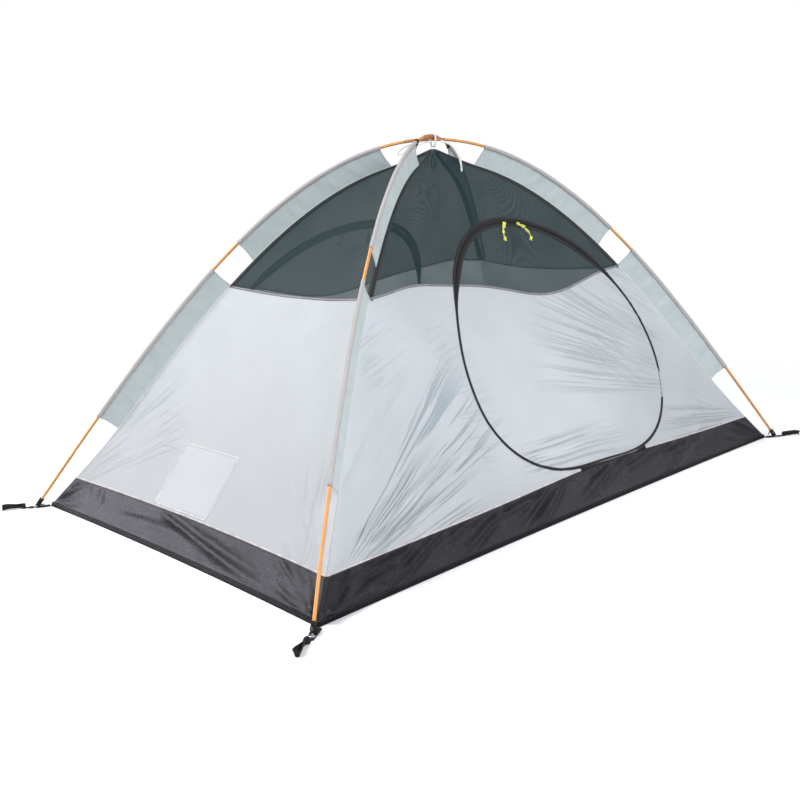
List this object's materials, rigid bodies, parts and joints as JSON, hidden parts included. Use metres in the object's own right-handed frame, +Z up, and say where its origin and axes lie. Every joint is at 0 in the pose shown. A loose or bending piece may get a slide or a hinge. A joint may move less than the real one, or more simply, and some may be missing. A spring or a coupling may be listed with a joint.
{
  "type": "dome tent",
  "caption": "Free-standing inner tent on two crossing poles, with sleeves, mesh tops, a tub floor and a round zipped door in each long side.",
  "frame": {"origin": "on the ground under the centre of the floor", "axes": "+X along the long side, +Y across it from the front door to the rear door, +Z up"},
  "size_m": [2.3446, 1.414, 1.0725],
  "materials": {
    "wall_fabric": "satin",
    "sleeve_fabric": "satin",
    "mesh": "matte",
    "tub_fabric": "satin",
    "zip_tape": "matte",
    "slider_metal": "satin",
    "pull_cord": "matte",
    "pole": "satin",
    "tip_metal": "satin",
    "webbing": "matte",
    "tie_tape": "matte",
    "hook_plastic": "satin",
    "pocket_fabric": "satin"
  },
  "bodies": {
    "tent_body": {"tub_floor": "tub_fabric", "west_wall": "wall_fabric", "west_mesh": "mesh", "east_wall": "wall_fabric", "east_mesh": "mesh", "front_wall_left": "wall_fabric", "front_wall_right": "wall_fabric", "front_mesh": "mesh", "front_zip_wall_tape": "zip_tape", "rear_wall_left": "wall_fabric", "rear_wall_right": "wall_fabric", "rear_mesh": "mesh", "rear_zip_wall_tape": "zip_tape", "sleeve_lower_front_west": "sleeve_fabric", "sleeve_upper_front_west": "sleeve_fabric", "pole_tip_front_west": "tip_metal", "corner_strap_front_west": "webbing", "sleeve_lower_rear_west": "sleeve_fabric", "sleeve_upper_rear_west": "sleeve_fabric", "pole_tip_rear_west": "tip_metal", "corner_strap_rear_west": "webbing", "sleeve_lower_front_east": "sleeve_fabric", "sleeve_upper_front_east": "sleeve_fabric", "pole_tip_front_east": "tip_metal", "corner_strap_front_east": "webbing", "sleeve_lower_rear_east": "sleeve_fabric", "sleeve_upper_rear_east": "sleeve_fabric", "pole_tip_rear_east": "tip_metal", "corner_strap_rear_east": "webbing", "upper_pole_section_1": "pole", "upper_pole_section_2": "pole", "upper_pole_section_3": "pole", "upper_pole_section_4": "pole", "lower_pole_section_1": "pole", "lower_pole_section_2": "pole", "lower_pole_section_3": "pole", "lower_pole_section_4": "pole", "inner_pocket": "pocket_fabric", "apex_tie": "tie_tape", "apex_tie_tail": "tie_tape", "lantern_loop": "webbing"},
    "front_door": {"front_door_fabric": "wall_fabric", "front_door_mesh": "mesh", "front_zip_door_tape": "zip_tape"},
    "front_slider_left": {"front_zip_slider_left": "slider_metal", "front_zip_pull_left": "pull_cord"},
    "front_slider_right": {"front_zip_slider_right": "slider_metal", "front_zip_pull_right": "pull_cord"},
    "rear_door": {"rear_door_fabric": "wall_fabric", "rear_door_mesh": "mesh", "rear_zip_door_tape": "zip_tape"},
    "rear_slider_left": {"rear_zip_slider_left": "slider_metal", "rear_zip_pull_left": "pull_cord"},
    "rear_slider_right": {"rear_zip_slider_right": "slider_metal", "rear_zip_pull_right": "pull_cord"},
    "stake_loop_front_west": {"stake_loop_front_west": "webbing"},
    "stake_loop_rear_west": {"stake_loop_rear_west": "webbing"},
    "stake_loop_front_east": {"stake_loop_front_east": "webbing"},
    "stake_loop_rear_east": {"stake_loop_rear_east": "webbing"},
    "lantern_hook": {"lantern_hook": "hook_plastic"}
  },
  "joints": [
    {"name": "front_door_swing", "type": "hinge", "parent": "tent_body", "child": "front_door", "pos_m": [0.58606, -0.46911, 0.25443], "axis": [0.3807, 0.3858, 0.8404], "range_deg": [0, 115]},
    {"name": "front_slider_left_run", "type": "hinge", "parent": "front_door", "child": "front_slider_left", "pos_m": [0.10756, -0.35905, 0.55148], "axis": [-0.0499, -0.7942, 0.6056], "range_deg": [0, 33]},
    {"name": "front_slider_right_run", "type": "hinge", "parent": "front_door", "child": "front_slider_right", "pos_m": [0.08054, -0.39716, 0.3859], "axis": [-0.0934, -0.8677, 0.4883], "range_deg": [-21, 0]},
    {"name": "rear_door_swing", "type": "hinge", "parent": "tent_body", "child": "rear_door", "pos_m": [-0.58606, 0.46911, 0.25443], "axis": [-0.3807, -0.3858, 0.8404], "range_deg": [0, 115]},
    {"name": "rear_slider_left_run", "type": "hinge", "parent": "rear_door", "child": "rear_slider_left", "pos_m": [-0.10756, 0.35905, 0.55148], "axis": [0.0499, 0.7942, 0.6056], "range_deg": [0, 33]},
    {"name": "rear_slider_right_run", "type": "hinge", "parent": "rear_door", "child": "rear_slider_right", "pos_m": [-0.08054, 0.39716, 0.3859], "axis": [0.0934, 0.8677, 0.4883], "range_deg": [-21, 0]},
    {"name": "stake_loop_front_west_lift", "type": "hinge", "parent": "tent_body", "child": "stake_loop_front_west", "pos_m": [-1.10402, -0.65936, 0.0014], "axis": [-0.5127, 0.8585, 0], "range_deg": [0, 110]},
    {"name": "stake_loop_rear_west_lift", "type": "hinge", "parent": "tent_body", "child": "stake_loop_rear_west", "pos_m": [-1.10402, 0.65936, 0.0014], "axis": [0.5127, 0.8585, 0], "range_deg": [0, 110]},
    {"name": "stake_loop_front_east_lift", "type": "hinge", "parent": "tent_body", "child": "stake_loop_front_east", "pos_m": [1.10402, -0.65936, 0.0014], "axis": [-0.5127, -0.8585, 0], "range_deg": [0, 110]},
    {"name": "stake_loop_rear_east_lift", "type": "hinge", "parent": "tent_body", "child": "stake_loop_rear_east", "pos_m": [1.10402, 0.65936, 0.0014], "axis": [0.5127, -0.8585, 0], "range_deg": [0, 110]},
    {"name": "lantern_hook_swing", "type": "hinge", "parent": "tent_body", "child": "lantern_hook", "pos_m": [0, 0, 1.0005], "axis": [1, 0, 0], "range_deg": [-55, 55]}
  ]
}
